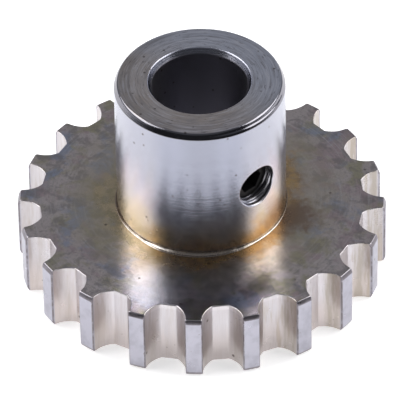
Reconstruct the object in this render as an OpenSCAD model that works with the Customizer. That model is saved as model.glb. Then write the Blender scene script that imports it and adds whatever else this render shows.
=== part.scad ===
// Timing belt pulley, hub type, without flanges.
// Millimetres. +Z runs along the shaft bore towards the hub's nose.
// The origin is the centre of the bore at the disc's back face.
// The radial set screw points along +X, over a belt groove.

/* [Belt teeth] */
// Number of belt grooves round the disc
teeth = 20; // [18:2:30]
// Belt pitch along the pitch line
belt_pitch = 5; // [4.9:0.05:5.2]
// Height of the belt's pitch line above the tooth tips
pitch_line_gap = 0.44; // [0.4:0.01:0.6]
// Width of the flat floor of each groove
floor_w = 1.3; // [1.2:0.05:1.8]
// Width of each groove at its mouth
mouth_w = 3.4; // [3.2:0.05:3.5]
// Groove depth below the tooth tips
groove_depth = 1.88; // [1.75:0.01:1.95]
// Rounding of each groove's lips
lip_r = 0.18; // [0.1:0.01:0.25]

/* [Disc] */
// Width of the toothed disc
disc_w = 6; // [5:0.5:12]
// Radial size of the chamfer on the disc's rim, both sides
rim_chamfer = 0.2; // [0.1:0.05:0.4]
// Height of the chamfer on the disc's rim
rim_chamfer_h = 0.4; // [0.1:0.05:0.6]

/* [Hub] */
// Outside diameter of the hub
hub_d = 14.2; // [13.5:0.1:15]
// Length of the hub above the disc
hub_h = 12.9; // [12:0.1:16]
// Diameter of the spigot that passes through the disc
spigot_d = 12; // [11.5:0.1:12.5]
// Radial size of the chamfer on the hub's nose
nose_chamfer = 0.3; // [0.1:0.05:0.5]
// Height of the chamfer on the hub's nose
nose_chamfer_h = 0.55; // [0.1:0.05:0.8]
// Edge break at the spigot's end and at the disc's hole, back side
joint_break = 0.15; // [0.05:0.05:0.3]

/* [Shaft bore] */
// Diameter of the shaft bore
bore_d = 8; // [6:0.5:8]
// Radial size of the chamfer at both mouths of the bore
bore_chamfer = 0.32; // [0.1:0.02:0.4]
// Depth of the chamfer at both mouths of the bore
bore_chamfer_h = 0.5; // [0.1:0.05:0.8]

/* [Braze ring] */
// Reach of the filler ring over the disc
braze_toe = 0.42; // [0.2:0.02:0.6]
// Rise of the filler ring up the hub
braze_rise = 0.32; // [0.2:0.02:0.6]

/* [Set screw] */
// Mean thread diameter of the tapped hole
tap_d = 3.68; // [3.4:0.02:4]
// Height of the tapped hole above the disc's front face
tap_z = 5.8; // [4:0.1:8]
// Depth of the countersink at the tapped hole's mouth
tap_sink = 0.08; // [0.05:0.01:0.25]
// Radial clearance between the screw and its hole
screw_gap = 0.04; // [0.02:0.01:0.1]
// Length of the set screw
screw_l = 2; // [1.6:0.1:2.4]
// Gap between the screw's point and the bore, screw backed off
point_gap = 0.05; // [0.03:0.01:0.3]
// Width across the flats of the screw's hexagon socket
socket_af = 2; // [1.5:0.1:2]
// Depth of the hexagon socket
socket_depth = 1.1; // [0.6:0.1:1.3]

/* [Hidden] */
$fn = 96;
eps = 0.5;
tip_r = teeth * belt_pitch / (2 * PI) - pitch_line_gap;   // outside radius of the teeth
root_r = tip_r - groove_depth;                            // radius to the groove floors
hub_r = hub_d / 2;
spigot_r = spigot_d / 2;
bore_r = bore_d / 2;
top_z = disc_w + hub_h;
screw_z = disc_w + tap_z;
tap_r = tap_d / 2;
screw_r = tap_r - screw_gap;
screw_x0 = bore_r + point_gap;                            // the point, nearest the bore
screw_x1 = screw_x0 + screw_l;                            // the socket end
cup_r = screw_r * 0.5;                                    // cup point
cup_h = cup_r * 0.6;
point_break = 0.3;                                        // chamfer round the cup point
head_break = 0.15;                                        // chamfer round the socket end

// Each flank is a hollow arc from the floor's edge to the mouth, upright at the tooth
// tips. flank_cx is where the right flank's centre lies beside the groove's middle.
flank_in = (mouth_w - floor_w) / 2;
flank_r = (flank_in * flank_in + groove_depth * groove_depth) / (2 * flank_in);
flank_cx = mouth_w / 2 - flank_r;

// Centre of the lip circle. It crosses the flank's circle and the tip circle by a
// hair, so that each lip ends in a clean edge and not in a tangent sliver.
cross = 0.012;
lip_at = tip_r - lip_r + cross;
lip_off = flank_r + lip_r - cross;
flank_d = sqrt(flank_cx * flank_cx + tip_r * tip_r);
lip_a = (lip_at * lip_at - lip_off * lip_off + flank_d * flank_d) / (2 * flank_d);
lip_h = sqrt(lip_at * lip_at - lip_a * lip_a);
lip_cx = (lip_a * flank_cx + lip_h * tip_r) / flank_d;
lip_cy = (lip_a * tip_r - lip_h * flank_cx) / flank_d;
// A point well inside the groove, on the line from the flank's centre to the lip's.
in_x = lip_cx / 2;
in_y = lip_cy + (tip_r - lip_cy) * (lip_cx - in_x) / (lip_cx - flank_cx);
out_k = (tip_r + 1) / lip_at;

// One belt groove, seen along the shaft, centred on +X.
module groove_2d() {
    rotate(-90) {
        intersection() {
            translate([flank_cx, tip_r]) circle(r = flank_r);
            translate([-flank_cx, tip_r]) circle(r = flank_r);
            translate([-mouth_w, root_r]) square([2 * mouth_w, groove_depth + 1]);
        }
        difference() {
            polygon([[-in_x, in_y], [in_x, in_y], [lip_cx, lip_cy],
                     [lip_cx * out_k, lip_cy * out_k], [-lip_cx * out_k, lip_cy * out_k],
                     [-lip_cx, lip_cy]]);
            for (s = [-1, 1]) translate([s * lip_cx, lip_cy]) circle(r = lip_r);
        }
    }
}

// Turned blank of the disc, with its chamfered rim and the hub's seat.
module disc_blank() {
    rotate_extrude()
        polygon([[spigot_r + joint_break, 0], [tip_r - rim_chamfer, 0], [tip_r, rim_chamfer_h],
                 [tip_r, disc_w - rim_chamfer_h], [tip_r - rim_chamfer, disc_w],
                 [spigot_r, disc_w], [spigot_r, joint_break]]);
}

module toothed_disc() {
    color([0.60, 0.60, 0.61])
        difference() {
            disc_blank();
            translate([0, 0, -eps])
                linear_extrude(disc_w + 2 * eps)
                    for (k = [0 : teeth - 1]) rotate(k * 360 / teeth) groove_2d();
        }
}

// Hub tube with its spigot, shoulder, chamfers and radial tapped hole.
module hub_sleeve() {
    color([0.72, 0.72, 0.74])
        difference() {
            rotate_extrude()
                polygon([[bore_r + bore_chamfer, 0], [spigot_r - joint_break, 0],
                         [spigot_r, joint_break], [spigot_r, disc_w], [hub_r, disc_w],
                         [hub_r, top_z - nose_chamfer_h], [hub_r - nose_chamfer, top_z],
                         [bore_r + bore_chamfer, top_z], [bore_r, top_z - bore_chamfer_h],
                         [bore_r, bore_chamfer_h]]);
            translate([bore_r / 2, 0, screw_z]) rotate([0, 90, 0])
                cylinder(r = tap_r, h = hub_r);
            translate([hub_r - tap_sink - 0.1, 0, screw_z]) rotate([0, 90, 0])
                cylinder(r1 = tap_r - 0.001, r2 = tap_r + tap_sink + 0.6, h = tap_sink + 0.7);
        }
}

// Ring of filler metal in the corner between hub and disc.
module braze_fillet() {
    color([0.78, 0.66, 0.46])
        rotate_extrude()
            polygon([[hub_r, disc_w], [hub_r + braze_toe, disc_w], [hub_r, disc_w + braze_rise]]);
}

// Short set screw with a hexagon socket and a cup point.
module set_screw() {
    color([0.13, 0.13, 0.14])
        translate([0, 0, screw_z]) rotate([0, 90, 0])
            difference() {
                rotate_extrude()
                    polygon([[0, screw_x0 + cup_h], [cup_r, screw_x0],
                             [screw_r - point_break, screw_x0],
                             [screw_r, screw_x0 + point_break],
                             [screw_r, screw_x1 - head_break],
                             [screw_r - head_break, screw_x1], [0, screw_x1]]);
                translate([0, 0, screw_x1 - socket_depth])
                    cylinder(r = socket_af / sqrt(3), h = socket_depth + eps, $fn = 6);
            }
}

toothed_disc();
hub_sleeve();
braze_fillet();
set_screw();
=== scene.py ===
import math

import bmesh
import bpy
import numpy as np
from mathutils import Matrix, Vector
from mathutils.geometry import delaunay_2d_cdt


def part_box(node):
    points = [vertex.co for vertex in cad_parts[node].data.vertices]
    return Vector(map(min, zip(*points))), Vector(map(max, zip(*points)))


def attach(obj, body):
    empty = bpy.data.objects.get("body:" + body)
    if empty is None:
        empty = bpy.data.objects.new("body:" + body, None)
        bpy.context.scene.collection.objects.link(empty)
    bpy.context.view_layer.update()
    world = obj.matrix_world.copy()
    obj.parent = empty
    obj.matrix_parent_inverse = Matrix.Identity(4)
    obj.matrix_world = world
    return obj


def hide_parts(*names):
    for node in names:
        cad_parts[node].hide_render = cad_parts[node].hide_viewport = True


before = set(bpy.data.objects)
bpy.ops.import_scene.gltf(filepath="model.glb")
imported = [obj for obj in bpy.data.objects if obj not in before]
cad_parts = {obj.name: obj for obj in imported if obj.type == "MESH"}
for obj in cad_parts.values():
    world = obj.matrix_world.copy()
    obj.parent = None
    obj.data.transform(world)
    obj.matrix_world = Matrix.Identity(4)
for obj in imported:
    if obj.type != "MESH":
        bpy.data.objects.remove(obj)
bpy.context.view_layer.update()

MM = 0.001
scene = bpy.context.scene
scene.view_settings.view_transform = "Standard"
scene.view_settings.look = "None"
scene.view_settings.exposure = 0.0
scene.view_settings.gamma = 1.0

TEETH = 20
TIP_R = TEETH * 5.0 / (2 * math.pi) - 0.44
FLOOR_W, MOUTH_W = 1.3, 3.4
ROOT_R = TIP_R - 1.88
LIP_R = 0.18
DISC_W = 6.0
RIM_C, RIM_H = 0.20, 0.40
HUB_R = 7.1
SPIGOT_R = 6.0
TOP_Z = 18.9
NOSE_C, NOSE_H = 0.30, 0.55
JOINT = 0.15
BORE_R, BORE_C, BORE_H = 4.0, 0.32, 0.50
TOE, RISE = 0.42, 0.32
TAP_Z = 11.8
PITCH = 0.5
MINOR_R, MAJOR_R = 1.73, 2.0
SCREW_X0, SCREW_X1 = 4.05, 6.05
SOCKET_AF, SOCKET_D = 2.0, 1.1

for node_name, axis, want in (
    ("toothed_disc", 2, DISC_W),
    ("hub_sleeve", 2, TOP_Z),
    ("hub_sleeve", 0, HUB_R),
    ("set_screw", 0, SCREW_X1),
):
    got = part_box(node_name)[1][axis] / MM
    assert abs(got - want) < 0.2, (node_name, axis, got, want)


# ------------------------------------------------------------------- camera
def make_camera():
    unit = 15.2255 * MM
    elev, roll, turn = math.radians(40.916), math.radians(-1.043), math.radians(48.27)
    dist, tx, tz = 31.414, -0.0095, -0.0113
    fwd = Vector((0, math.cos(elev), -math.sin(elev)))
    right = Vector((1, 0, 0))
    up = right.cross(fwd)
    r2 = right * math.cos(roll) + up * math.sin(roll)
    u2 = up * math.cos(roll) - right * math.sin(roll)
    pos = (Vector((tx, 0, tz)) - fwd * dist) * unit
    spin = Matrix.Rotation(turn, 3, "Z")
    r2, u2, fwd, pos = spin @ r2, spin @ u2, spin @ fwd, spin @ pos
    pos = pos + Vector((0, 0, DISC_W * MM))
    m = Matrix((r2, u2, -fwd)).transposed().to_4x4()
    m.translation = pos
    data = bpy.data.cameras.new("camera")
    data.sensor_width = 36.0
    data.lens = 5695.5 / 400 * 36.0
    data.clip_start, data.clip_end = 0.01, 20
    cam = bpy.data.objects.new("camera", data)
    cam.matrix_world = m
    scene.collection.objects.link(cam)
    scene.camera = cam
    return cam


camera = make_camera()


# ------------------------------------------------------------- mesh helpers
class Net:
    """Rings of points, skinned into quads. Points are in mm, meshes in metres."""

    def __init__(self):
        self.v, self.f, self.n = [], [], 0

    def ring(self, pts):
        pts = np.asarray(pts, float)
        start = self.n
        self.v.append(pts)
        self.n += len(pts)
        return np.arange(start, start + len(pts))

    def skin(self, a, b, closed=True, keep=None):
        n = len(a)
        last = n if closed else n - 1
        for i in range(last):
            if keep is not None and not keep(i):
                continue
            j = (i + 1) % n
            self.f.append((a[i], a[j], b[j], b[i]))

    def fan(self, a, centre):
        c = self.ring([centre])[0]
        n = len(a)
        for i in range(n):
            self.f.append((a[i], a[(i + 1) % n], c))

    def halve(self, fine, coarse):
        """Joins a ring of 2n points to one of n points on a flat band."""
        n = len(coarse)
        for i in range(n):
            a, b, c = fine[2 * i], fine[2 * i + 1], fine[(2 * i + 2) % (2 * n)]
            p, q = coarse[i], coarse[(i + 1) % n]
            self.f += [(p, a, b), (p, b, q), (q, b, c)]

    def build(self, name):
        co = np.concatenate(self.v) * MM
        me = bpy.data.meshes.new(name)
        me.from_pydata(co.tolist(), [], [tuple(int(k) for k in f) for f in self.f])
        bm = bmesh.new()
        bm.from_mesh(me)
        bmesh.ops.remove_doubles(bm, verts=bm.verts, dist=2e-7)
        bmesh.ops.dissolve_degenerate(bm, edges=bm.edges, dist=1e-8)
        bmesh.ops.recalc_face_normals(bm, faces=bm.faces)
        bm.to_mesh(me)
        bm.free()
        me.shade_smooth()
        ob = bpy.data.objects.new(name, me)
        scene.collection.objects.link(ob)
        return ob


def circle(r, z, n, wobble=0.0, seed=0):
    t = np.arange(n) * 2 * np.pi / n
    rr = r + wobble * ripple(t, seed)
    return np.stack([rr * np.cos(t), rr * np.sin(t), np.full(n, float(z))], 1)


def ripple(t, seed):
    """Smooth closed noise round a ring, about -1 to 1."""
    rng = np.random.RandomState(seed)
    out = np.zeros_like(t)
    for k in (2, 3, 5, 8, 13, 21, 34):
        out += rng.uniform(0.4, 1.0) / math.sqrt(k) * np.sin(k * t + rng.uniform(0, 6.283))
    return out / 2.0


def rounded(poly, radii, seg=4, support=0.05):
    """A polyline (r, z) with its inner corners rounded, and a support point each side."""
    poly = [np.array(p, float) for p in poly]
    out = [poly[0]]
    for i in range(1, len(poly) - 1):
        a, b, c, r = poly[i - 1], poly[i], poly[i + 1], radii[i - 1]
        if r <= 0:
            out.append(b)
            continue
        u, w = (a - b) / np.linalg.norm(a - b), (c - b) / np.linalg.norm(c - b)
        half = math.acos(max(-1, min(1, float(u @ w)))) / 2
        cut = r / math.tan(half)
        centre = b + (u + w) / np.linalg.norm(u + w) * (r / math.sin(half))
        p0, p1 = b + u * cut, b + w * cut
        if np.linalg.norm(a - p0) > 2.5 * support:
            out.append(p0 + u * support)
        a0, a1 = p0 - centre, p1 - centre
        t0, t1 = math.atan2(a0[1], a0[0]), math.atan2(a1[1], a1[0])
        d = (t1 - t0 + math.pi) % (2 * math.pi) - math.pi
        for k in range(seg + 1):
            t = t0 + d * k / seg
            out.append(centre + r * np.array([math.cos(t), math.sin(t)]))
        if np.linalg.norm(c - p1) > 2.5 * support:
            out.append(p1 + w * support)
    out.append(poly[-1])
    return out


# -------------------------------------------------------------- toothed disc
def tooth_outline(n_flank=12, n_lip=6, n_land=6):
    """The closed outline of the teeth seen along the shaft: points, the way into the
    metal, and the number of points in one tooth's share, from floor to floor."""
    m, w, d = MOUTH_W / 2, FLOOR_W / 2, TIP_R - ROOT_R
    fr = ((m - w) ** 2 + d * d) / (2 * (m - w))
    c1 = np.array([m - fr, TIP_R])
    dist = np.hypot(*c1)
    a, b = TIP_R - LIP_R, fr + LIP_R
    la = (a * a - b * b + dist * dist) / (2 * dist)
    lh = math.sqrt(a * a - la * la)
    lip = np.array([la * c1[0] + lh * c1[1], la * c1[1] - lh * c1[0]]) / dist
    t_floor = math.atan2(ROOT_R - TIP_R, w - c1[0])
    t_flank = math.atan2(lip[1] - c1[1], lip[0] - c1[0])
    t_land = math.atan2(lip[1], lip[0])
    pts, inn = [], []

    def add(p, n):
        pts.append(np.array(p, float))
        inn.append(np.array(n, float))

    # the groove's middle is +Y; this half runs from its floor to the land, clockwise
    for x in (0.0, 0.17, 0.34, 0.48, 0.56, 0.61):
        add((x, ROOT_R), (0, -1))
    mid = math.radians((-90 + math.degrees(t_floor)) / 2)
    add((w - 0.003, ROOT_R + 0.007), (math.cos(mid), math.sin(mid)))
    start = t_floor + 0.04 / fr
    for k in range(n_flank):
        s = k / n_flank
        t = start + (t_flank - start) * s
        n = np.array([math.cos(t), math.sin(t)])
        add(c1 + fr * n, n)
    for k in range(n_lip + 1):
        t = t_flank + math.pi + (t_land - t_flank - math.pi) * k / n_lip
        n = np.array([math.cos(t), math.sin(t)])
        add(lip + LIP_R * n, -n)
    step = 2 * math.pi / TEETH
    axis = math.pi / 2 - step / 2
    half_p, half_n = np.array(pts), np.array(inn)
    for k in range(1, n_land + 1):
        t = t_land + (2 * axis - 2 * t_land) * k / (n_land + 1)
        n = np.array([math.cos(t), math.sin(t)])
        add(TIP_R * n, -n)
    flip = np.array([[math.cos(2 * axis), math.sin(2 * axis)], [math.sin(2 * axis), -math.cos(2 * axis)]])
    back_p, back_n = (half_p @ flip.T)[:0:-1], (half_n @ flip.T)[:0:-1]
    pts, inn = np.concatenate([pts, back_p]), np.concatenate([inn, back_n])
    all_p, all_n = [], []
    for k in range(TEETH):
        t = -k * step - math.pi / 2
        r = np.array([[math.cos(t), -math.sin(t)], [math.sin(t), math.cos(t)]])
        all_p.append(pts @ r.T)
        all_n.append(inn @ r.T)
    return np.concatenate(all_p), np.concatenate(all_n), len(pts)


def inside(pts, poly, margin):
    """Which points lie in a closed polygon, at least a margin away from its border."""
    a, b = poly, np.roll(poly, -1, 0)
    x, y = pts[:, 0:1], pts[:, 1:2]
    up = (a[:, 1] > y) != (b[:, 1] > y)
    with np.errstate(divide="ignore", invalid="ignore"):
        cut = (b[:, 0] - a[:, 0]) * (y - a[:, 1]) / (b[:, 1] - a[:, 1]) + a[:, 0]
    hit = (up & (x < cut)).sum(1) % 2 == 1
    d = b - a
    t = ((pts[:, None, :] - a) * d).sum(2) / np.maximum((d * d).sum(1), 1e-12)
    near = a + d * np.clip(t, 0, 1)[:, :, None]
    return hit & (np.linalg.norm(pts[:, None, :] - near, axis=2).min(1) > margin)


def rim_drop(rho, soft=0.05):
    """How far the turned tip chamfer lies below the disc's face at a radius."""
    x = rho - (TIP_R - RIM_C)
    return RIM_H / RIM_C * np.where(x <= -soft, 0.0, np.where(x >= soft, x, (x + soft) ** 2 / (4 * soft)))


def make_disc():
    net = Net()
    p, inn, per = tooth_outline()
    n = len(p)
    ang = np.arctan2(p[:, 1], p[:, 0])
    edge = 0.085 * (1 + 0.30 * ripple(ang, 3) + 0.35 * np.random.RandomState(5).uniform(-1, 1, n))
    edge = np.convolve(np.r_[edge[-2:], edge, edge[:2]], np.ones(5) / 5, "valid")
    turn = -np.arange(n) * 2 * np.pi / n
    ringed = np.stack([np.cos(turn), np.sin(turn)], 1)
    start = TIP_R - RIM_C

    def side(top):
        rings = []

        def put(xy, depth):
            z = DISC_W - depth if top else depth
            rings.append(net.ring(np.c_[xy, z]))

        d0 = rim_drop(np.hypot(p[:, 0], p[:, 1]))
        put(p, d0 + edge * 8)
        put(p, d0 + edge * 2.2)
        for a in (0, 22, 45, 68, 90):
            t = math.radians(a)
            q = p + inn * (edge * (1 - math.cos(t)))[:, None]
            put(q, rim_drop(np.hypot(q[:, 0], q[:, 1])) + edge * (1 - math.sin(t)))
        q = p + inn * (edge + 0.025)[:, None]
        put(q, rim_drop(np.hypot(q[:, 0], q[:, 1])))
        loop = rings[-1]
        put(ringed * 12.9, np.zeros(n))
        for a, b in zip(rings[:-1], rings[1:-1]):
            net.skin(a, b)
        # each tooth's face, from the rounded edge to a plain circle below the grooves
        for k in range(TEETH):
            idx = [(k * per + i) % n for i in range(per + 1)]
            border = np.concatenate([q[idx], ringed[idx[::-1]] * 12.9])
            ids = [int(loop[i]) for i in idx] + [int(rings[-1][i]) for i in idx[::-1]]
            mid = math.atan2(*ringed[idx[per // 2]][::-1])
            extra = []
            for off in (-0.26, -0.18, -0.12, -0.085, -0.055, -0.032, -0.01, 0.012, 0.034, 0.056):
                r = start + off
                for x in np.arange(-1.2, 1.201, 0.1):
                    extra.append((r * math.cos(mid + x / r), r * math.sin(mid + x / r)))
            extra = np.array(extra)
            extra = extra[inside(extra, border, 0.028)]
            fall = rim_drop(np.hypot(extra[:, 0], extra[:, 1]))
            new = net.ring(np.c_[extra, DISC_W - fall if top else fall])
            ids += [int(i) for i in new]
            every = [Vector(v) for v in np.concatenate([border, extra])]
            m = len(border)
            res = delaunay_2d_cdt(every, [], [list(range(m))], 1, 1e-7)
            for f in res[2]:
                src = [res[3][v] for v in f]
                if all(src):
                    net.f.append(tuple(ids[v[0]] for v in src))
        for r in (12.3, 11.4, 10.5, 9.6, 8.8, 8.1, 7.6, 7.26, 6.9) if top else (12.2, 11.2, 10.0, 8.8, 7.8, 7.0, 6.5):
            put(ringed * r, np.zeros(n))
            net.skin(rings[-2], rings[-1])
        if not top:
            for r, z in ((6.22, 0.0), (6.17, 0.004), (6.13, 0.03), (6.06, 0.10), (6.02, 0.15), (SPIGOT_R, 0.22)):
                put(ringed * r, np.full(n, z))
                net.skin(rings[-2], rings[-1])
        else:
            put(ringed * SPIGOT_R, np.zeros(n))
            net.skin(rings[-2], rings[-1])
        return rings[0], rings[-1]

    top_a, top_b = side(True)
    low_a, low_b = side(False)
    mid = net.ring(np.c_[p, np.full(n, DISC_W / 2)])
    net.skin(top_a, mid)
    net.skin(mid, low_a)
    net.skin(top_b, low_b)
    return net.build("disc_finished")


# ---------------------------------------------------------------------- hub
def thread_r(x, phi):
    """Radius of the tapped hole's wall: a 0.5 mm right-hand thread about +X."""
    u = np.abs(((x / PITCH - phi / (2 * np.pi)) % 1.0) - 0.5) * 2  # 0 at the root, 1 at the crest
    s = np.clip((u - 0.12) / (0.86 - 0.12), 0, 1)
    s = s * s * (3 - 2 * s) * 0.35 + s * 0.65
    return MAJOR_R - (MAJOR_R - MINOR_R) * s


N_HUB, N_BORE, N_HOLE = 240, 120, 120


def make_hub():
    net = Net()
    # outside, from the back end face to the nose's end face, 240 points a ring
    outer = rounded(
        [(5.5, 0), (SPIGOT_R - JOINT, 0), (SPIGOT_R, JOINT), (SPIGOT_R, DISC_W), (HUB_R, DISC_W)],
        [0.05, 0.05, 0, 0], 3,
    )
    rows = [6.3, 6.7, 7.2, 7.7, 8.2, 8.7]
    z0, z1, n_rows = TAP_Z - 2.7, TAP_Z + 2.7, 30
    open_z = list(np.linspace(z0, z1, n_rows + 1))
    above = [15.0, 15.6, 16.2, 16.8, 17.4, 17.9, 18.15]
    prof = [(r, z) for r, z in outer] + [(HUB_R, z) for z in rows + open_z + above]
    rings = [net.ring(circle(r, z, N_HUB)) for r, z in prof]
    # the nose: a turned chamfer with a step in it on one side, then the rounded edge
    ang = np.arange(N_HUB) * 2 * np.pi / N_HUB
    near = np.clip(1 - (np.angle(np.exp(1j * (ang - 0.06))) / 0.75) ** 2, 0, 1) ** 1.5
    lean = math.atan2(NOSE_C, NOSE_H)
    for dz, dr in ((0.10, 0.0), (0.05, 0.0), (0.02, 0.0015), (0.0, 0.004), (-0.02, 0.0085), (-0.05, 0.0)):
        rings.append(net.ring(circle(HUB_R - (dr if dz >= -0.02 else -dz * math.tan(lean)), TOP_Z - NOSE_H - dz, N_HUB)))
    edge_r = 0.30
    cut = edge_r * math.tan((math.pi / 2 - lean) / 2)
    corner = HUB_R - NOSE_C
    top_s = math.hypot(NOSE_C, NOSE_H) - cut
    for q in (0.3, 0.45, 0.52, 0.58, 0.63, 0.68, 0.74, 0.82, 0.92, 1.0):
        d = top_s * q
        back = 0.05 * near * float(np.clip((q - 0.50) / 0.20, 0, 1))
        rings.append(net.ring(circle(HUB_R - d * math.sin(lean) - back, TOP_Z - NOSE_H + d * math.cos(lean), N_HUB)))
    cx, cz = corner - cut, TOP_Z - edge_r
    for k in range(1, 9):
        t = lean + (math.pi / 2 - lean) * k / 8
        back = 0.05 * near * (1 - k / 8)
        rings.append(net.ring(circle(cx + edge_r * math.cos(t) - back, cz + edge_r * math.sin(t), N_HUB, 0.006 * (k < 8), 40 + k // 3)))
    for r in (cx - 0.06, 6.2, 5.5):
        rings.append(net.ring(circle(r, TOP_Z, N_HUB)))
    first = len(outer) + len(rows)
    half = 15
    for k in range(len(rings) - 1):
        inside = first <= k < first + n_rows
        net.skin(
            rings[k], rings[k + 1],
            keep=(lambda i: not (i < half or i >= N_HUB - half)) if inside else None,
        )
    opening = opening_loop(rings, first, n_rows, half, N_HUB)

    # inside, 120 points a ring
    bore_low = rounded([(5.2, 0), (BORE_R + BORE_C, 0), (BORE_R, BORE_H), (BORE_R, 1.2)], [0.04, 0.05], 3, 0.04)
    bore_top = rounded(
        [(BORE_R, TOP_Z - 1.2), (BORE_R, TOP_Z - BORE_H), (BORE_R + BORE_C, TOP_Z), (5.2, TOP_Z)],
        [0.04, 0.16], 5, 0.04,
    )
    b_rows, b_half = 32, 14
    b_open = list(np.linspace(TAP_Z - 2.7, TAP_Z + 2.7, b_rows + 1))
    b_prof = (
        [tuple(q) for q in bore_low]
        + [(BORE_R, z) for z in (2.5, 4.0, 5.5, 7.0, 8.2)]
        + [(BORE_R, z) for z in b_open]
        + [(BORE_R, z) for z in (15.2, 16.2, 17.0)]
        + [tuple(q) for q in bore_top]
    )
    b_rings = [
        net.ring(circle(r, z, N_BORE, 0.014 if BORE_R + 0.002 < r < BORE_R + BORE_C - 0.002 else 0.0, 60 + i // 4))
        for i, (r, z) in enumerate(b_prof)
    ]
    b_first = len(bore_low) + 5
    for k in range(len(b_rings) - 1):
        inside = b_first <= k < b_first + b_rows
        net.skin(
            b_rings[k], b_rings[k + 1],
            keep=(lambda i: not (i < b_half or i >= N_BORE - b_half)) if inside else None,
        )
    b_opening = opening_loop(b_rings, b_first, b_rows, b_half, N_BORE)
    net.halve(rings[0], b_rings[0])
    net.halve(rings[-1], b_rings[-1])

    # the tapped hole: patch on the hub's wall, countersunk mouth, thread, patch in the bore
    phi = -math.pi * 0.75 + np.arange(N_HOLE) * 2 * math.pi / N_HOLE
    c, s = np.cos(phi), np.sin(phi)
    co = np.concatenate(net.v)

    def on_wall(rho, depth, radius):
        y = rho * c
        return np.stack([np.sqrt(radius ** 2 - y ** 2) - depth, y, TAP_Z + rho * s], 1)

    def patch(loop, radius, rho):
        outer_p = co[loop]
        prev = loop
        for t in (0.8, 0.62, 0.46, 0.32, 0.2, 0.1, 0.0):
            y = rho * c + (outer_p[:, 1] - rho * c) * t
            z = TAP_Z + rho * s + (outer_p[:, 2] - TAP_Z - rho * s) * t
            ring = net.ring(np.stack([np.sqrt(radius ** 2 - y ** 2), y, z], 1))
            net.skin(prev, ring)
            prev = ring
        return prev

    # worn mouth, with a wider slanted land at its lower left
    worn = 1 + 0.25 * ripple(phi, 11)
    land = np.exp(-(np.angle(np.exp(1j * (phi + math.radians(115)))) / 0.75) ** 2)
    worn = worn + 1.1 * land
    wide = 1.945 + 0.05 * land
    prev = patch(opening, HUB_R, wide)
    for rho, depth in ((1.930, 0.001), (1.915, 0.004), (1.899, 0.010), (1.883, 0.020), (1.866, 0.035), (1.850, 0.056), (1.838, 0.080), (1.83, 0.11)):
        ring = net.ring(on_wall(1.83 + (rho - 1.83) * (wide - 1.83) / 0.115, depth * worn, HUB_R))
        net.skin(prev, ring)
        prev = ring
    x_s = np.sqrt(HUB_R ** 2 - (1.83 * c) ** 2) - 0.11 * worn
    x_e = np.sqrt(BORE_R ** 2 - (1.87 * c) ** 2) - 0.001
    n_t = 130
    for k in range(1, n_t + 1):
        x = x_s + (x_e - x_s) * k / n_t
        deep = np.clip(((x_s - x) - 0.12) / 0.25, 0, 1)
        r = 1.83 + (thread_r(x, phi) - 1.83) * deep
        fade = np.clip((x - x_e) / 0.18, 0, 1)
        r = 1.87 + (r - 1.87) * fade
        ring = net.ring(np.stack([x, r * c, TAP_Z + r * s], 1))
        net.skin(prev, ring)
        prev = ring
    inner = patch(b_opening, BORE_R, 1.90)
    net.skin(prev, inner)
    return net.build("hub_finished")


def opening_loop(rings, first, n_rows, half, n):
    """The opening's border in the grid, anticlockwise seen from +X, from its low left corner."""
    low, high = rings[first], rings[first + n_rows]
    loop = [low[(i) % n] for i in range(-half, half)]
    loop += [rings[first + k][half % n] for k in range(n_rows)]
    loop += [high[(i) % n] for i in range(half, -half, -1)]
    loop += [rings[first + k][(-half) % n] for k in range(n_rows, 0, -1)]
    return np.array(loop)


# --------------------------------------------------------------- braze ring
def make_braze():
    net = Net()
    n = 240
    t = np.arange(n) * 2 * math.pi / n
    wob = ripple(t, 21)
    # how far out the bead lies, by angle from the ring's front
    at = [-180, -110, -60, -43, -34, -18, 4, 20, 36, 80, 130, 180]
    out = [0.16, 0.12, 0.10, 0.10, 0.27, 0.33, 0.33, 0.24, 0.05, 0.04, 0.12, 0.16]
    front = np.degrees(np.angle(np.exp(1j * (t + math.radians(41.73)))))
    toe = np.interp(front, at, out)
    toe = np.convolve(np.r_[toe[-5:], toe, toe[:5]], np.ones(11) / 11, "valid") + 0.012 * wob
    rise = (0.10 + 0.35 * toe) * (1 + 0.12 * ripple(t, 22))
    bead = 0.070 * (1 + 0.30 * ripple(t, 23))
    wide = 0.085
    rings = []
    c, s = np.cos(t), np.sin(t)

    def put(r, z):
        rings.append(net.ring(np.stack([r * c, r * s, z + 0 * r], 1)))

    put(np.full(n, HUB_R - 0.05), np.full(n, DISC_W))
    for a in np.radians([0, 18, 36, 54, 72, 90, 110, 130, 148]):
        put(np.maximum(HUB_R + toe + wide * math.cos(a), HUB_R - 0.01), DISC_W + bead * math.sin(a))
    low = bead * math.sin(math.radians(148))
    span = np.maximum(toe + wide * math.cos(math.radians(148)), 0.004)
    for q, sag in ((0.84, 0.05), (0.68, 0.09), (0.52, 0.10), (0.36, 0.09), (0.22, 0.06), (0.10, 0.02), (0.03, 0.0)):
        put(HUB_R + span * q + 0.002, DISC_W + (rise - low) * (1 - q - sag) + low)
    put(HUB_R + np.full(n, 0.0005), DISC_W + rise)
    put(np.full(n, HUB_R - 0.05), DISC_W + rise)
    for a, b in zip(rings, rings[1:] + rings[:1]):
        net.skin(a, b)
    return net.build("braze_finished")


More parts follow.
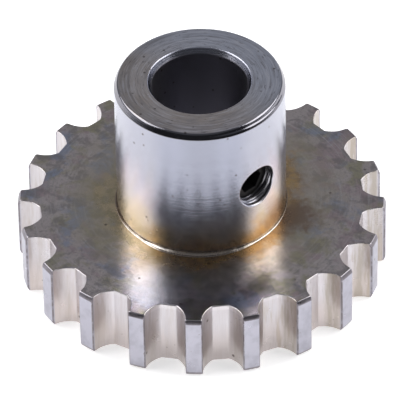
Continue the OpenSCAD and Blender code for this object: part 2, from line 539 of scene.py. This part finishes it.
# ---------------------------------------------------------------- set screw
def make_screw():
    net = Net()
    n = 96
    phi = np.arange(n) * 2 * math.pi / n
    c, s = np.cos(phi), np.sin(phi)

    def put(x, r):
        x = np.broadcast_to(x, (n,))
        return net.ring(np.stack([x, r * c, TAP_Z + r * s], 1))

    def hexagon(scale):
        ap = SOCKET_AF / 2 * scale
        return ap / np.cos((phi % (math.pi / 3)) - math.pi / 6)

    rings = []
    # cup point
    rings.append(put(SCREW_X0 + 0.54, np.full(n, 0.04)))
    rings.append(put(SCREW_X0 + 0.03, np.full(n, 0.85)))
    rings.append(put(SCREW_X0, np.full(n, 0.90)))
    rings.append(put(SCREW_X0, np.full(n, 1.40)))
    for k in range(0, 73):
        x = SCREW_X0 + 0.02 + (SCREW_X1 - SCREW_X0 - 0.04) * k / 72
        r = thread_r(np.full(n, x), phi) - 0.05
        r = np.minimum(r, 1.80)
        r = np.minimum(r, 1.43 + (x - SCREW_X0) * 1.0)
        r = np.minimum(r, 1.62 + (SCREW_X1 - x) * 1.0)
        rings.append(put(x, r))
    rings.append(put(SCREW_X1, np.full(n, 1.58)))
    rings.append(put(SCREW_X1, np.full(n, 1.40)))
    rings.append(put(SCREW_X1, hexagon(1.07)))
    rings.append(put(SCREW_X1 - 0.02, hexagon(1.03)))
    rings.append(put(SCREW_X1 - 0.07, hexagon(1.0)))
    rings.append(put(SCREW_X1 - 0.12, hexagon(1.0)))
    rings.append(put(SCREW_X1 - SOCKET_D + 0.05, hexagon(1.0)))
    rings.append(put(SCREW_X1 - SOCKET_D, hexagon(0.97)))
    rings.append(put(SCREW_X1 - SOCKET_D - 0.02, hexagon(0.9)))
    rings.append(put(SCREW_X1 - SOCKET_D - 0.25, np.full(n, 0.05)))
    for a, b in zip(rings, rings[1:]):
        net.skin(a, b)
    net.fan(rings[0], (SCREW_X0 + 0.56, 0, TAP_Z))
    net.fan(rings[-1], (SCREW_X1 - SOCKET_D - 0.27, 0, TAP_Z))
    ob = net.build("set_screw_finished")
    ob.data.set_sharp_from_angle(angle=math.radians(38))
    return ob


disc = make_disc()
hub = make_hub()
braze = make_braze()
screw = make_screw()


# --------------------------------------------------------- node-tree helpers
class Tree:
    def __init__(self, nt):
        self.nt = nt

    def new(self, kind, **props):
        nd = self.nt.nodes.new(kind)
        for k, v in props.items():
            setattr(nd, k, v)
        return nd

    def put(self, sock, val):
        if isinstance(val, bpy.types.NodeSocket):
            self.nt.links.new(val, sock)
        elif val is not None:
            sock.default_value = val

    def m(self, op, a, b=None, c=None, clamp=False):
        nd = self.new("ShaderNodeMath", operation=op, use_clamp=clamp)
        for i, x in enumerate((a, b, c)):
            if x is not None:
                self.put(nd.inputs[i], x)
        return nd.outputs[0]

    def add(self, a, b): return self.m("ADD", a, b)
    def sub(self, a, b): return self.m("SUBTRACT", a, b)
    def mul(self, a, b): return self.m("MULTIPLY", a, b)
    def mx(self, a, b): return self.m("MAXIMUM", a, b)
    def mn(self, a, b): return self.m("MINIMUM", a, b)

    def step(self, x, lo, hi, a=0.0, b=1.0):
        """Smooth step of x from lo to hi, giving a to b."""
        nd = self.new("ShaderNodeMapRange", interpolation_type="SMOOTHSTEP", clamp=True)
        self.put(nd.inputs["Value"], x)
        nd.inputs["From Min"].default_value = lo
        nd.inputs["From Max"].default_value = hi
        self.put(nd.inputs["To Min"], a)
        self.put(nd.inputs["To Max"], b)
        return nd.outputs[0]

    def lin(self, x, lo, hi, a=0.0, b=1.0):
        nd = self.new("ShaderNodeMapRange", interpolation_type="LINEAR", clamp=True)
        self.put(nd.inputs["Value"], x)
        nd.inputs["From Min"].default_value = lo
        nd.inputs["From Max"].default_value = hi
        self.put(nd.inputs["To Min"], a)
        self.put(nd.inputs["To Max"], b)
        return nd.outputs[0]

    def band(self, x, lo, hi, soft):
        """1 inside lo..hi, falling to 0 over soft outside."""
        return self.mul(self.step(x, lo - soft, lo), self.step(x, hi, hi + soft, 1.0, 0.0))

    def noise(self, vec, scale, detail=3.0, rough=0.55, distortion=0.0, dims="3D"):
        nd = self.new("ShaderNodeTexNoise", noise_dimensions=dims)
        self.put(nd.inputs["Vector"], vec)
        nd.inputs["Scale"].default_value = scale
        nd.inputs["Detail"].default_value = detail
        nd.inputs["Roughness"].default_value = rough
        nd.inputs["Distortion"].default_value = distortion
        return nd.outputs[0]

    def vor(self, vec, scale, rand=1.0, feature="F1"):
        nd = self.new("ShaderNodeTexVoronoi", feature=feature)
        self.put(nd.inputs["Vector"], vec)
        nd.inputs["Scale"].default_value = scale
        nd.inputs["Randomness"].default_value = rand
        return nd.outputs[0]

    def xyz(self, vec):
        nd = self.new("ShaderNodeSeparateXYZ")
        self.put(nd.inputs[0], vec)
        return nd.outputs[0], nd.outputs[1], nd.outputs[2]

    def vec(self, x, y, z):
        nd = self.new("ShaderNodeCombineXYZ")
        for i, q in enumerate((x, y, z)):
            self.put(nd.inputs[i], q)
        return nd.outputs[0]

    def mix(self, fac, a, b, mode="MIX"):
        nd = self.new("ShaderNodeMix", data_type="RGBA", blend_type=mode, clamp_factor=True)
        self.put(nd.inputs[0], fac)
        for i, q in ((6, a), (7, b)):
            if isinstance(q, (tuple, list)):
                q = (*q, 1.0) if len(q) == 3 else q
            self.put(nd.inputs[i], q)
        return nd.outputs[2]

    def bump(self, height, strength, distance, normal=None):
        nd = self.new("ShaderNodeBump")
        self.put(nd.inputs["Strength"], strength)
        nd.inputs["Distance"].default_value = distance
        self.put(nd.inputs["Height"], height)
        if normal is not None:
            self.put(nd.inputs["Normal"], normal)
        return nd.outputs[0]


def material(name, **constants):
    mat = bpy.data.materials.new(name)
    mat.use_nodes = True
    nt = mat.node_tree
    nt.nodes.clear()
    t = Tree(nt)
    out = t.new("ShaderNodeOutputMaterial")
    bsdf = t.new("ShaderNodeBsdfPrincipled")
    nt.links.new(bsdf.outputs[0], out.inputs[0])
    for k, v in constants.items():
        bsdf.inputs[k].default_value = v
    return mat, t, bsdf


def place(t):
    """Object coordinates in mm, with the radius and angle about the shaft."""
    tc = t.new("ShaderNodeTexCoord")
    sc = t.new("ShaderNodeVectorMath", operation="SCALE")
    t.put(sc.inputs[0], tc.outputs["Object"])
    sc.inputs["Scale"].default_value = 1000.0
    p = sc.outputs[0]
    x, y, z = t.xyz(p)
    rho = t.m("SQRT", t.add(t.mul(x, x), t.mul(y, y)))
    ang = t.m("ARCTAN2", y, x)
    nrm = t.new("ShaderNodeNewGeometry").outputs["Normal"]
    nx, ny, nz = t.xyz(nrm)
    return p, x, y, z, rho, ang, nz


# ---------------------------------------------------------------- materials
def steel_disc():
    mat, t, b = material("plated_steel_disc", Metallic=1.0)
    p, x, y, z, rho, ang, nz = place(t)
    flat = t.step(t.m("ABSOLUTE", nz), 0.80, 0.97)
    wall = t.sub(1.0, flat)
    # where on a tooth: 0 in the groove's bottom, 1 on the land
    land = t.step(rho, TIP_R - 0.30, TIP_R - 0.14)

    cloud = t.noise(p, 0.16, 4, 0.6)
    fine = t.noise(p, 1.3, 5, 0.6)
    # turning marks: noise that only varies with the radius
    ringv = t.vec(t.mul(rho, 1.0), t.mul(z, 0.35), 0.0)
    turn = t.noise(ringv, 6.0, 4, 0.7)
    turn_fine = t.noise(ringv, 22.0, 3, 0.7)

    def spots(offset, scale, lo, hi):
        v = t.new("ShaderNodeVectorMath", operation="ADD")
        t.put(v.inputs[0], p)
        v.inputs[1].default_value = (offset, offset * 0.7, offset * 1.3)
        return t.step(t.noise(v.outputs[0], scale, 4, 0.6, 0.4), lo, hi)

    face = t.mix(cloud, (0.55, 0.475, 0.45), (0.68, 0.615, 0.60))
    face = t.mix(t.mul(spots(11.0, 0.34, 0.47, 0.63), 0.80), face, (0.43, 0.40, 0.25))
    face = t.mix(t.mul(spots(37.0, 0.30, 0.50, 0.64), 0.80), face, (0.37, 0.42, 0.55))
    face = t.mix(t.mul(spots(53.0, 0.42, 0.51, 0.65), 0.75), face, (0.52, 0.40, 0.42))
    face = t.mix(t.mul(spots(71.0, 0.9, 0.48, 0.64), 0.58), face, (0.27, 0.25, 0.25))
    face = t.mix(t.mul(t.step(fine, 0.50, 0.75), 0.35), face, (0.36, 0.33, 0.30))
    # faint turned arcs: noise stretched round the shaft
    cx, cy = t.m("DIVIDE", x, t.mx(rho, 0.01)), t.m("DIVIDE", y, t.mx(rho, 0.01))
    arcs = t.noise(t.vec(t.mul(cx, 2.2), t.mul(cy, 2.2), t.mul(rho, 5.0)), 1.0, 4, 0.65)
    face = t.mix(t.mul(t.step(arcs, 0.52, 0.72), 0.40), face, (0.34, 0.33, 0.33))
    face = t.mix(t.mul(t.step(arcs, 0.32, 0.46, 1.0, 0.0), 0.35), face, (0.72, 0.70, 0.70))
    grit = t.noise(p, 4.2, 4, 0.65)
    face = t.mix(t.mul(t.step(grit, 0.52, 0.70), 0.45), face, (0.27, 0.25, 0.245))
    # heat tint: golden brown by the hub, olive further out, in patches
    patch = t.noise(p, 0.28, 3, 0.6, 0.6)
    patch2 = t.noise(p, 1.1, 4, 0.65, 0.4)
    reach = t.add(rho, t.add(t.mul(t.sub(patch, 0.5), -5.0), t.mul(t.sub(patch2, 0.5), -3.5)))
    near = t.step(reach, 7.6, 9.8, 1.0, 0.0)
    far = t.step(reach, 9.4, 12.8, 1.0, 0.0)
    face = t.mix(t.mul(far, 0.55), face, (0.50, 0.44, 0.33))
    right = t.add(t.mul(x, 0.6655), t.mul(y, 0.7464))
    back = t.add(t.mul(x, -0.7464), t.mul(y, 0.6655))
    fleck = t.step(t.noise(p, 0.8, 3, 0.6), 0.40, 0.60)
    gold = t.mix(fleck, (0.58, 0.37, 0.15), (0.37, 0.24, 0.13))
    pale = t.mix(fleck, (0.57, 0.46, 0.29), (0.40, 0.34, 0.20))
    gold = t.mix(t.step(right, -5.0, -1.0), pale, gold)
    face = t.mix(t.mul(near, 0.80), face, gold)
    foot = t.mul(t.step(right, 1.5, 4.5), t.step(back, -2.0, 0.0, 1.0, 0.0))
    face = t.mix(t.mul(t.mul(near, foot), 0.26), face, (0.20, 0.13, 0.07))
    # a dark brown patch of scale beside the hub
    du, dv = t.sub(right, 7.7), t.sub(back, -2.4)
    off = t.add(t.m("SQRT", t.add(t.mul(du, du), t.mul(dv, dv))), t.mul(t.sub(patch2, 0.5), -3.0))
    top = t.step(z, 2.0, 4.0)
    face = t.mix(t.mul(top, t.step(off, 0.9, 2.7, 0.85, 0.0)), face, (0.26, 0.18, 0.13))
    # a cleaner, brighter patch at the front left
    du, dv = t.sub(right, -4.3), t.sub(back, -11.2)
    off = t.add(t.m("SQRT", t.add(t.mul(du, du), t.mul(dv, dv))), t.mul(t.sub(patch2, 0.5), -2.5))
    face = t.mix(t.mul(top, t.step(off, 1.2, 3.4, 0.75, 0.0)), face, (0.74, 0.715, 0.70))

    # groove walls: light grey, beige lower down, with brown patches and streaks along the shaft
    arc = t.mul(ang, 15.0)
    streak = t.noise(t.vec(t.mul(arc, 3.2), t.mul(z, 0.22), t.mul(rho, 1.5)), 1.0, 4, 0.65)
    thin = t.noise(t.vec(t.mul(arc, 9.0), t.mul(z, 0.35), t.mul(rho, 2.5)), 1.0, 3, 0.65)
    low = t.step(t.add(z, t.mul(t.sub(streak, 0.5), 4.0)), 1.2, 4.2, 1.0, 0.0)
    more = t.step(right, 0.0, 9.0, 0.35, 1.0)
    groove = t.mix(t.step(streak, 0.38, 0.66), (0.66, 0.63, 0.655), (0.61, 0.57, 0.585))
    groove = t.mix(t.mul(low, 0.60), groove, (0.64, 0.555, 0.525))
    stain = t.noise(t.vec(t.mul(arc, 1.5), t.mul(z, 0.16), t.mul(rho, 1.2)), 1.0, 3, 0.6)
    groove = t.mix(t.mul(t.mul(t.step(stain, 0.54, 0.66), more), 0.60), groove, (0.44, 0.36, 0.28))
    groove = t.mix(t.mul(t.mul(t.step(thin, 0.55, 0.72), more), 0.50), groove, (0.36, 0.32, 0.29))
    flank = t.band(rho, ROOT_R + 0.45, TIP_R - 0.30, 0.20)
    groove = t.mix(t.mul(t.mul(flank, more), t.step(streak, 0.40, 0.60, 0.30, 0.75)), groove, (0.42, 0.37, 0.31))
    lands = t.mix(t.step(t.noise(p, 0.9, 3), 0.4, 0.7), (0.49, 0.48, 0.55), (0.41, 0.40, 0.46))
    side = t.mix(land, groove, lands)
    # painted shade: the tooth walls at the front, below the rim chamfer, are painted 13 % towards near black
    front_teeth_shade = t.mul(t.step(back, -14.0, -10.5, 0.13, 0.0), t.step(z, DISC_W - RIM_H - 0.10, DISC_W - RIM_H, 1.0, 0.0))
    side = t.mix(front_teeth_shade, side, (0.10, 0.11, 0.11))
    # painted shade: a broken dark line painted along the rounded groove edges just inside the tips
    lip = t.mul(t.band(rho, TIP_R - 0.15, TIP_R - 0.045, 0.03), t.step(t.noise(p, 1.4, 3, 0.6), 0.36, 0.56, 0.40, 0.85))
    side = t.mix(lip, side, (0.17, 0.15, 0.15))
    # the chamfer on the rim, painted dark: painted shade
    rim_chamfer_shade = t.mul(t.band(t.m("ABSOLUTE", t.sub(z, DISC_W / 2)), DISC_W / 2 - RIM_H + 0.03, DISC_W / 2 - 0.03, 0.03), land)
    side = t.mix(t.mul(rim_chamfer_shade, 0.65), side, (0.21, 0.19, 0.21))
    col = t.mix(wall, face, side)
    dent = t.mul(t.step(t.vor(p, 1.7), 0.07, 0.15, 1.0, 0.0), t.step(t.noise(p, 0.8, 2), 0.52, 0.60))
    col = t.mix(t.mul(t.mul(dent, wall), 0.7), col, (0.22, 0.19, 0.18))
    # pits and specks
    pits = t.vor(p, 0.62)
    size = t.noise(p, 0.5, 2)
    pit = t.mul(t.step(pits, 0.05, 0.11, 1.0, 0.0), t.step(size, 0.50, 0.60))
    col = t.mix(t.mul(pit, 0.8), col, (0.10, 0.075, 0.06))
    t.put(b.inputs["Base Color"], col)
    rough = t.add(t.mul(fine, 0.16), t.mul(cloud, 0.10))
    rough = t.add(rough, t.add(0.085, t.mul(wall, 0.085)))
    rough = t.add(rough, t.mul(near, 0.06))
    t.put(b.inputs["Roughness"], rough)
    # bump: turning marks on the faces, cutter lines along the grooves, faint plating grain
    marks = t.mul(t.add(turn, t.mul(turn_fine, 0.5)), flat)
    lines = t.mul(t.noise(t.vec(t.mul(arc, 9.0), t.mul(z, 0.3), t.mul(rho, 3.0)), 1.0, 4, 0.7), wall)
    h = t.add(t.mul(marks, 0.8), t.mul(lines, 1.2))
    n1 = t.bump(h, 0.35, 0.00002)
    grain = t.add(t.noise(p, 9.0, 3, 0.6), t.add(t.mul(pit, -1.5), t.mul(dent, -1.5)))
    n2 = t.bump(grain, 0.30, 0.00001, n1)
    wavy = t.noise(p, 0.55, 3, 0.5)
    n3 = t.bump(wavy, 0.35, 0.00005, n2)
    t.put(b.inputs["Normal"], n3)
    return mat


def steel_hub():
    mat, t, b = material("plated_steel_hub", Metallic=1.0)
    p, x, y, z, rho, ang, nz = place(t)
    flat = t.step(t.m("ABSOLUTE", nz), 0.80, 0.97)
    bore = t.step(rho, BORE_R + 0.02, BORE_R + 0.10, 1.0, 0.0)
    cloud = t.noise(p, 0.22, 4, 0.6)
    fine = t.noise(p, 1.6, 5, 0.6)
    right = t.add(t.mul(x, 0.6655), t.mul(y, 0.7464))
    back = t.add(t.mul(x, -0.7464), t.mul(y, 0.6655))
    wallc = t.mix(cloud, (0.39, 0.40, 0.48), (0.48, 0.49, 0.565))
    wallc = t.mix(t.mul(t.step(fine, 0.55, 0.75), 0.25), wallc, (0.34, 0.34, 0.38))
    # painted shade: the front of the hub's wall is painted darker and bluer
    front_wall_shade = t.step(t.add(back, t.mul(t.sub(cloud, 0.5), 4.0)), -6.8, -3.5, 0.55, 0.0)
    wallc = t.mix(front_wall_shade, wallc, (0.31, 0.325, 0.405))
    # painted shade: the nose chamfer is painted darker than the wall
    nose = t.mul(t.step(z, TOP_Z - NOSE_H - 0.06, TOP_Z - NOSE_H + 0.02), t.step(rho, 5.6, 6.0))
    wallc = t.mix(nose, wallc, (0.27, 0.265, 0.295))
    cool = t.step(t.add(t.add(right, back), t.mul(t.sub(cloud, 0.5), 6.0)), -5.0, 6.0)
    endc = t.mix(cool, (0.60, 0.55, 0.53), (0.60, 0.62, 0.70))
    endc = t.mix(t.step(t.add(back, t.mul(t.sub(cloud, 0.5), 5.0)), -7.0, -4.0, 0.55, 0.0), endc, (0.44, 0.41, 0.44))
    brown = t.step(t.noise(p, 0.3, 3, 0.6), 0.45, 0.7)
    endc = t.mix(t.mul(t.mul(brown, 0.5), t.sub(1.0, cool)), endc, (0.50, 0.41, 0.33))
    cx, cy = t.m("DIVIDE", x, t.mx(rho, 0.01)), t.m("DIVIDE", y, t.mx(rho, 0.01))
    arcs = t.noise(t.vec(t.mul(cx, 2.4), t.mul(cy, 2.4), t.mul(rho, 6.5)), 1.0, 4, 0.65)
    endc = t.mix(t.mul(t.step(arcs, 0.50, 0.62), 0.55), endc, (0.36, 0.34, 0.35))
    endc = t.mix(t.mul(t.step(arcs, 0.36, 0.48, 1.0, 0.0), 0.55), endc, (0.80, 0.79, 0.84))
    dash = t.noise(t.vec(t.mul(cx, 7.0), t.mul(cy, 7.0), t.mul(rho, 9.0)), 1.0, 3, 0.6)
    endc = t.mix(t.mul(t.step(dash, 0.60, 0.68), 0.65), endc, (0.17, 0.16, 0.17))
    col = t.mix(flat, wallc, endc)
    # painted reflection: pale warm strips painted on the lower left and right front of the hub's wall
    flank = t.mul(t.step(t.m("ABSOLUTE", right), 3.6, 5.4), t.step(z, 9.0, 13.5, 1.0, 0.0))
    flank = t.mul(flank, t.mul(t.step(rho, 5.0, 6.0), t.step(back, -1.0, 1.0, 1.0, 0.0)))
    col = t.mix(t.mul(flank, 0.8), col, (0.66, 0.61, 0.59))
    # painted highlight: lighter bands painted on the upper hub wall to each side of its front
    upper_side_sheen = t.mul(t.step(t.m("ABSOLUTE", right), 2.6, 4.6), t.step(t.m("ABSOLUTE", right), 6.3, 6.9, 1.0, 0.0))
    upper_side_sheen = t.mul(t.mul(upper_side_sheen, t.step(z, 9.0, 12.0)), t.mul(t.step(rho, 5.0, 6.0), t.sub(1.0, t.mx(nose, flat))))
    col = t.mix(t.mul(upper_side_sheen, 0.45), col, (0.56, 0.56, 0.62))
    # heat tint climbing the foot of the hub, with painted shade at its front centre
    patch = t.noise(p, 0.33, 3, 0.6, 0.5)
    up = t.add(z, t.mul(t.sub(patch, 0.5), -4.5))
    tint_hi = t.step(up, 7.2, 10.6, 1.0, 0.0)
    tint_lo = t.step(up, 6.4, 9.0, 1.0, 0.0)
    outside = t.step(rho, 5.0, 6.0)
    col = t.mix(t.mul(t.mul(tint_hi, outside), t.sub(0.40, t.mul(flank, 0.20))), col, (0.60, 0.53, 0.43))
    gold = t.mix(t.step(t.noise(p, 0.9, 3, 0.6), 0.35, 0.62), (0.50, 0.34, 0.14), (0.37, 0.25, 0.12))
    # the heat tint is thinned on the left pale strip, keeping that painted reflection pale
    leftish = t.mul(flank, t.step(right, -4.0, -3.0, 1.0, 0.0))
    tint_lo = t.mul(tint_lo, t.sub(1.0, t.mul(leftish, 0.78)))
    # painted shade: at the front centre of the foot the heat tint is thinned and a dark bluish grey painted in
    centre = t.mul(t.step(t.m("ABSOLUTE", t.sub(right, 0.2)), 2.2, 4.2, 1.0, 0.0), t.step(back, -3.0, -1.0, 1.0, 0.0))
    tint_lo = t.mul(tint_lo, t.sub(1.0, t.mul(centre, 0.62)))
    col = t.mix(t.mul(t.mul(tint_lo, outside), 0.70), col, gold)
    front_foot_shade = t.mul(t.mul(centre, outside), t.step(up, 6.6, 9.6, 0.55, 0.0))
    col = t.mix(front_foot_shade, col, (0.30, 0.30, 0.36))
    rightish = t.mul(t.step(right, 3.2, 5.0), t.step(up, 6.6, 8.6, 1.0, 0.0))
    col = t.mix(t.mul(t.mul(rightish, outside), 0.25), col, (0.40, 0.275, 0.15))
    # painted shade and painted light: the bore is painted darkest in its middle, and lighter towards its left
    bore_light_and_shade = t.mix(t.step(t.m("ABSOLUTE", right), 0.8, 3.0), (0.13, 0.12, 0.14), (0.23, 0.22, 0.25))
    bore_light_and_shade = t.mix(t.step(right, -3.6, -2.0, 0.8, 0.0), bore_light_and_shade, (0.42, 0.40, 0.42))
    col = t.mix(t.mul(bore, 0.72), col, bore_light_and_shade)
    # painted shade: a darker band painted down the middle of the hub's wall at the front
    mid = t.mul(t.step(t.m("ABSOLUTE", right), 0.5, 2.2, 1.0, 0.0), t.mul(t.step(z, 10.0, 12.5), t.sub(1.0, t.mx(nose, flat))))
    mid = t.mul(mid, t.mul(outside, t.step(back, -3.0, -1.0, 1.0, 0.0)))
    col = t.mix(t.mul(mid, 0.15), col, (0.14, 0.14, 0.15))
    # painted shade: the left side of the nose chamfer is painted darker, towards near black
    col = t.mix(t.mul(nose, t.step(right, -3.4, -1.4, 0.17, 0.0)), col, (0.08, 0.08, 0.09))
    # the tapped hole is painted darker towards its depth: painted shade
    hole_y = t.mul(y, y)
    hole_z = t.sub(z, TAP_Z)
    hole = t.step(t.add(hole_y, t.mul(hole_z, hole_z)), 4.0, 4.4, 1.0, 0.0)
    hole = t.mul(hole, t.step(x, HUB_R - 1.1, HUB_R - 0.35, 1.0, 0.0))
    hole = t.mul(hole, t.step(x, BORE_R - 0.1, BORE_R + 0.1))
    col = t.mix(t.mul(hole, 0.7), col, (0.12, 0.115, 0.12))
    pits = t.vor(p, 1.15)
    size = t.noise(p, 0.7, 2)
    pit = t.mul(t.step(pits, 0.08, 0.16, 1.0, 0.0), t.step(size, 0.47, 0.55))
    col = t.mix(t.mul(pit, 0.75), col, (0.10, 0.08, 0.07))
    t.put(b.inputs["Base Color"], col)
    rough = t.add(t.add(0.12, t.mul(fine, 0.14)), t.mul(cloud, 0.10))
    rough = t.add(rough, t.mul(bore, 0.12))
    rough = t.mul(rough, t.sub(1.0, t.mul(nose, 0.65)))
    t.put(b.inputs["Roughness"], rough)
    ringv = t.vec(rho, t.mul(z, 1.0), 0.0)
    turn = t.noise(ringv, 8.0, 4, 0.75)
    h = t.add(t.mul(turn, 1.3), t.mul(t.noise(p, 0.6, 3, 0.5), 1.6))
    n1 = t.bump(h, 0.35, 0.00002)
    grain = t.add(t.noise(p, 9.0, 3, 0.6), t.mul(pit, -1.5))
    n2 = t.bump(grain, 0.30, 0.00001, n1)
    t.put(b.inputs["Normal"], n2)
    return mat


def braze_metal():
    mat, t, b = material("braze_metal", Metallic=1.0)
    p, x, y, z, rho, ang, nz = place(t)
    c = t.noise(p, 1.2, 4, 0.6)
    col = t.mix(t.step(c, 0.4, 0.7), (0.90, 0.87, 0.83), (0.78, 0.71, 0.63))
    film = t.mix(t.step(c, 0.35, 0.65), (0.24, 0.17, 0.105), (0.17, 0.12, 0.08))
    col = t.mix(t.mul(t.step(z, DISC_W + 0.062, DISC_W + 0.085), t.step(rho, HUB_R + 0.02, HUB_R + 0.07, 1.0, 0.0)), col, film)
    back = t.add(t.mul(x, -0.7464), t.mul(y, 0.6655))
    # painted shade: the bead is painted dark brown at its very front and over its back half, leaving it pale at the
    # front left and right
    col = t.mix(t.step(t.add(back, t.mul(t.sub(c, 0.5), 2.0)), -6.9, -6.1, 0.80, 0.0), col, (0.20, 0.155, 0.12))
    col = t.mix(t.step(back, -4.6, -2.2, 0.0, 0.85), col, (0.22, 0.155, 0.10))
    t.put(b.inputs["Base Color"], col)
    t.put(b.inputs["Roughness"], t.lin(c, 0.3, 0.7, 0.16, 0.34))
    t.put(b.inputs["Normal"], t.bump(t.noise(p, 5.0, 3), 0.3, 0.00002))
    return mat


def black_oxide():
    mat, t, b = material("black_oxide_steel", Metallic=0.3)
    b.inputs["Specular IOR Level"].default_value = 0.15
    p, x, y, z, rho, ang, nz = place(t)
    c = t.noise(p, 2.2, 4, 0.6)
    worn = t.step(t.noise(p, 5.0, 3), 0.62, 0.78)
    col = t.mix(c, (0.006, 0.006, 0.007), (0.016, 0.015, 0.015))
    col = t.mix(t.mul(worn, 0.35), col, (0.04, 0.038, 0.038))
    t.put(b.inputs["Base Color"], col)
    t.put(b.inputs["Roughness"], t.lin(c, 0.3, 0.7, 0.28, 0.48))
    t.put(b.inputs["Normal"], t.bump(t.noise(p, 12.0, 3), 0.3, 0.00001))
    return mat


mats = {"disc": steel_disc(), "hub": steel_hub(), "braze": braze_metal(), "screw": black_oxide()}
for ob, mat, body, node, slot in (
    (disc, "disc", "pulley", "toothed_disc", "disc_steel"),
    (hub, "hub", "pulley", "hub_sleeve", "hub_steel"),
    (braze, "braze", "pulley", "braze_fillet", "braze"),
    (screw, "screw", "set_screw", "set_screw", "black_steel"),
):
    ob.data.materials.append(mats[mat])
    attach(ob, body)
    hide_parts(node)
    # the hidden CAD solid carries the same finish
    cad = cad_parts[node]
    cad.data.materials.clear()
    cad.data.materials.append(mats[mat])


# -------------------------------------------------------------------- stage
def make_floor():
    bm = bmesh.new()
    bmesh.ops.create_circle(bm, cap_ends=True, segments=64, radius=2.5)
    me = bpy.data.meshes.new("floor")
    bm.to_mesh(me)
    bm.free()
    ob = bpy.data.objects.new("floor", me)
    ob.location.z = -0.00004          # a hair under the part, so that no faces share a plane
    scene.collection.objects.link(ob)
    mat, t, b = material("floor_paper", Metallic=0.0, Roughness=0.9)
    tc = t.new("ShaderNodeTexCoord")
    grain = t.noise(tc.outputs["Object"], 60.0, 3)
    col = t.mix(grain, (0.90, 0.90, 0.905), (0.93, 0.93, 0.93))
    t.put(b.inputs["Base Color"], col)
    b.inputs["Specular IOR Level"].default_value = 0.1
    b.inputs["Emission Color"].default_value = (1.0, 1.0, 1.0, 1.0)
    b.inputs["Emission Strength"].default_value = 0.58
    ob.data.materials.append(mat)
    return ob


floor = make_floor()


def make_world():
    """A soft studio: dark overhead and in front, dim behind, a large softbox to each side."""
    w = bpy.data.worlds.new("studio")
    scene.world = w
    w.use_nodes = True
    nt = w.node_tree
    nt.nodes.clear()
    t = Tree(nt)
    out = t.new("ShaderNodeOutputWorld")
    bg = t.new("ShaderNodeBackground")
    nt.links.new(bg.outputs[0], out.inputs[0])
    tc = t.new("ShaderNodeTexCoord")
    rot = t.new("ShaderNodeVectorRotate", rotation_type="Z_AXIS")
    t.put(rot.inputs["Vector"], tc.outputs["Generated"])
    rot.inputs["Angle"].default_value = -math.radians(48.27)
    x, y, z = t.xyz(rot.outputs[0])
    h = t.mx(t.m("SQRT", t.add(t.mul(x, x), t.mul(y, y))), 0.001)
    toward = t.m("DIVIDE", y, h)          # -1 at the camera's side, 1 at the back
    high = t.step(z, 0.88, 0.95)
    front = t.step(z, 0.35, 0.60, 0.035, 0.14)
    base = t.mx(t.step(toward, -0.45, 0.30, front, 0.30), t.mul(high, 0.30))
    low = t.mul(t.step(z, 0.02, 0.22, 0.20, 0.0), t.step(toward, -0.60, -0.30, 0.05, 1.0))
    amb = t.add(base, low)
    boxes = t.mul(t.band(toward, -0.36, 0.58, 0.08), t.band(z, 0.40, 0.80, 0.07))
    val = t.add(amb, t.mul(boxes, 3.0))
    col = t.mix(t.mul(boxes, 0.9), (0.94, 0.97, 1.06), (1.0, 0.985, 0.97))
    t.put(bg.inputs["Color"], col)
    t.put(bg.inputs["Strength"], val)


make_world()


def panel(name, side, power):
    """A square panel beside the part. It lights the paper and isn't seen itself."""
    d = bpy.data.lights.new(name, "AREA")
    d.shape = "RECTANGLE"
    d.size, d.size_y = 0.19, 0.19
    d.energy = power
    o = bpy.data.objects.new(name, d)
    turn = Matrix.Rotation(math.radians(48.27), 3, "Z")
    loc = turn @ Vector((side * 0.17, 0.033, 0.125))
    o.location = loc
    o.rotation_mode = "QUATERNION"
    o.rotation_quaternion = (-loc).to_track_quat("-Z", "Y")
    o.visible_camera = False
    o.visible_glossy = False
    scene.collection.objects.link(o)
    return o


panel("left_panel", -1, 0.05)
panel("right_panel", 1, 0.05)
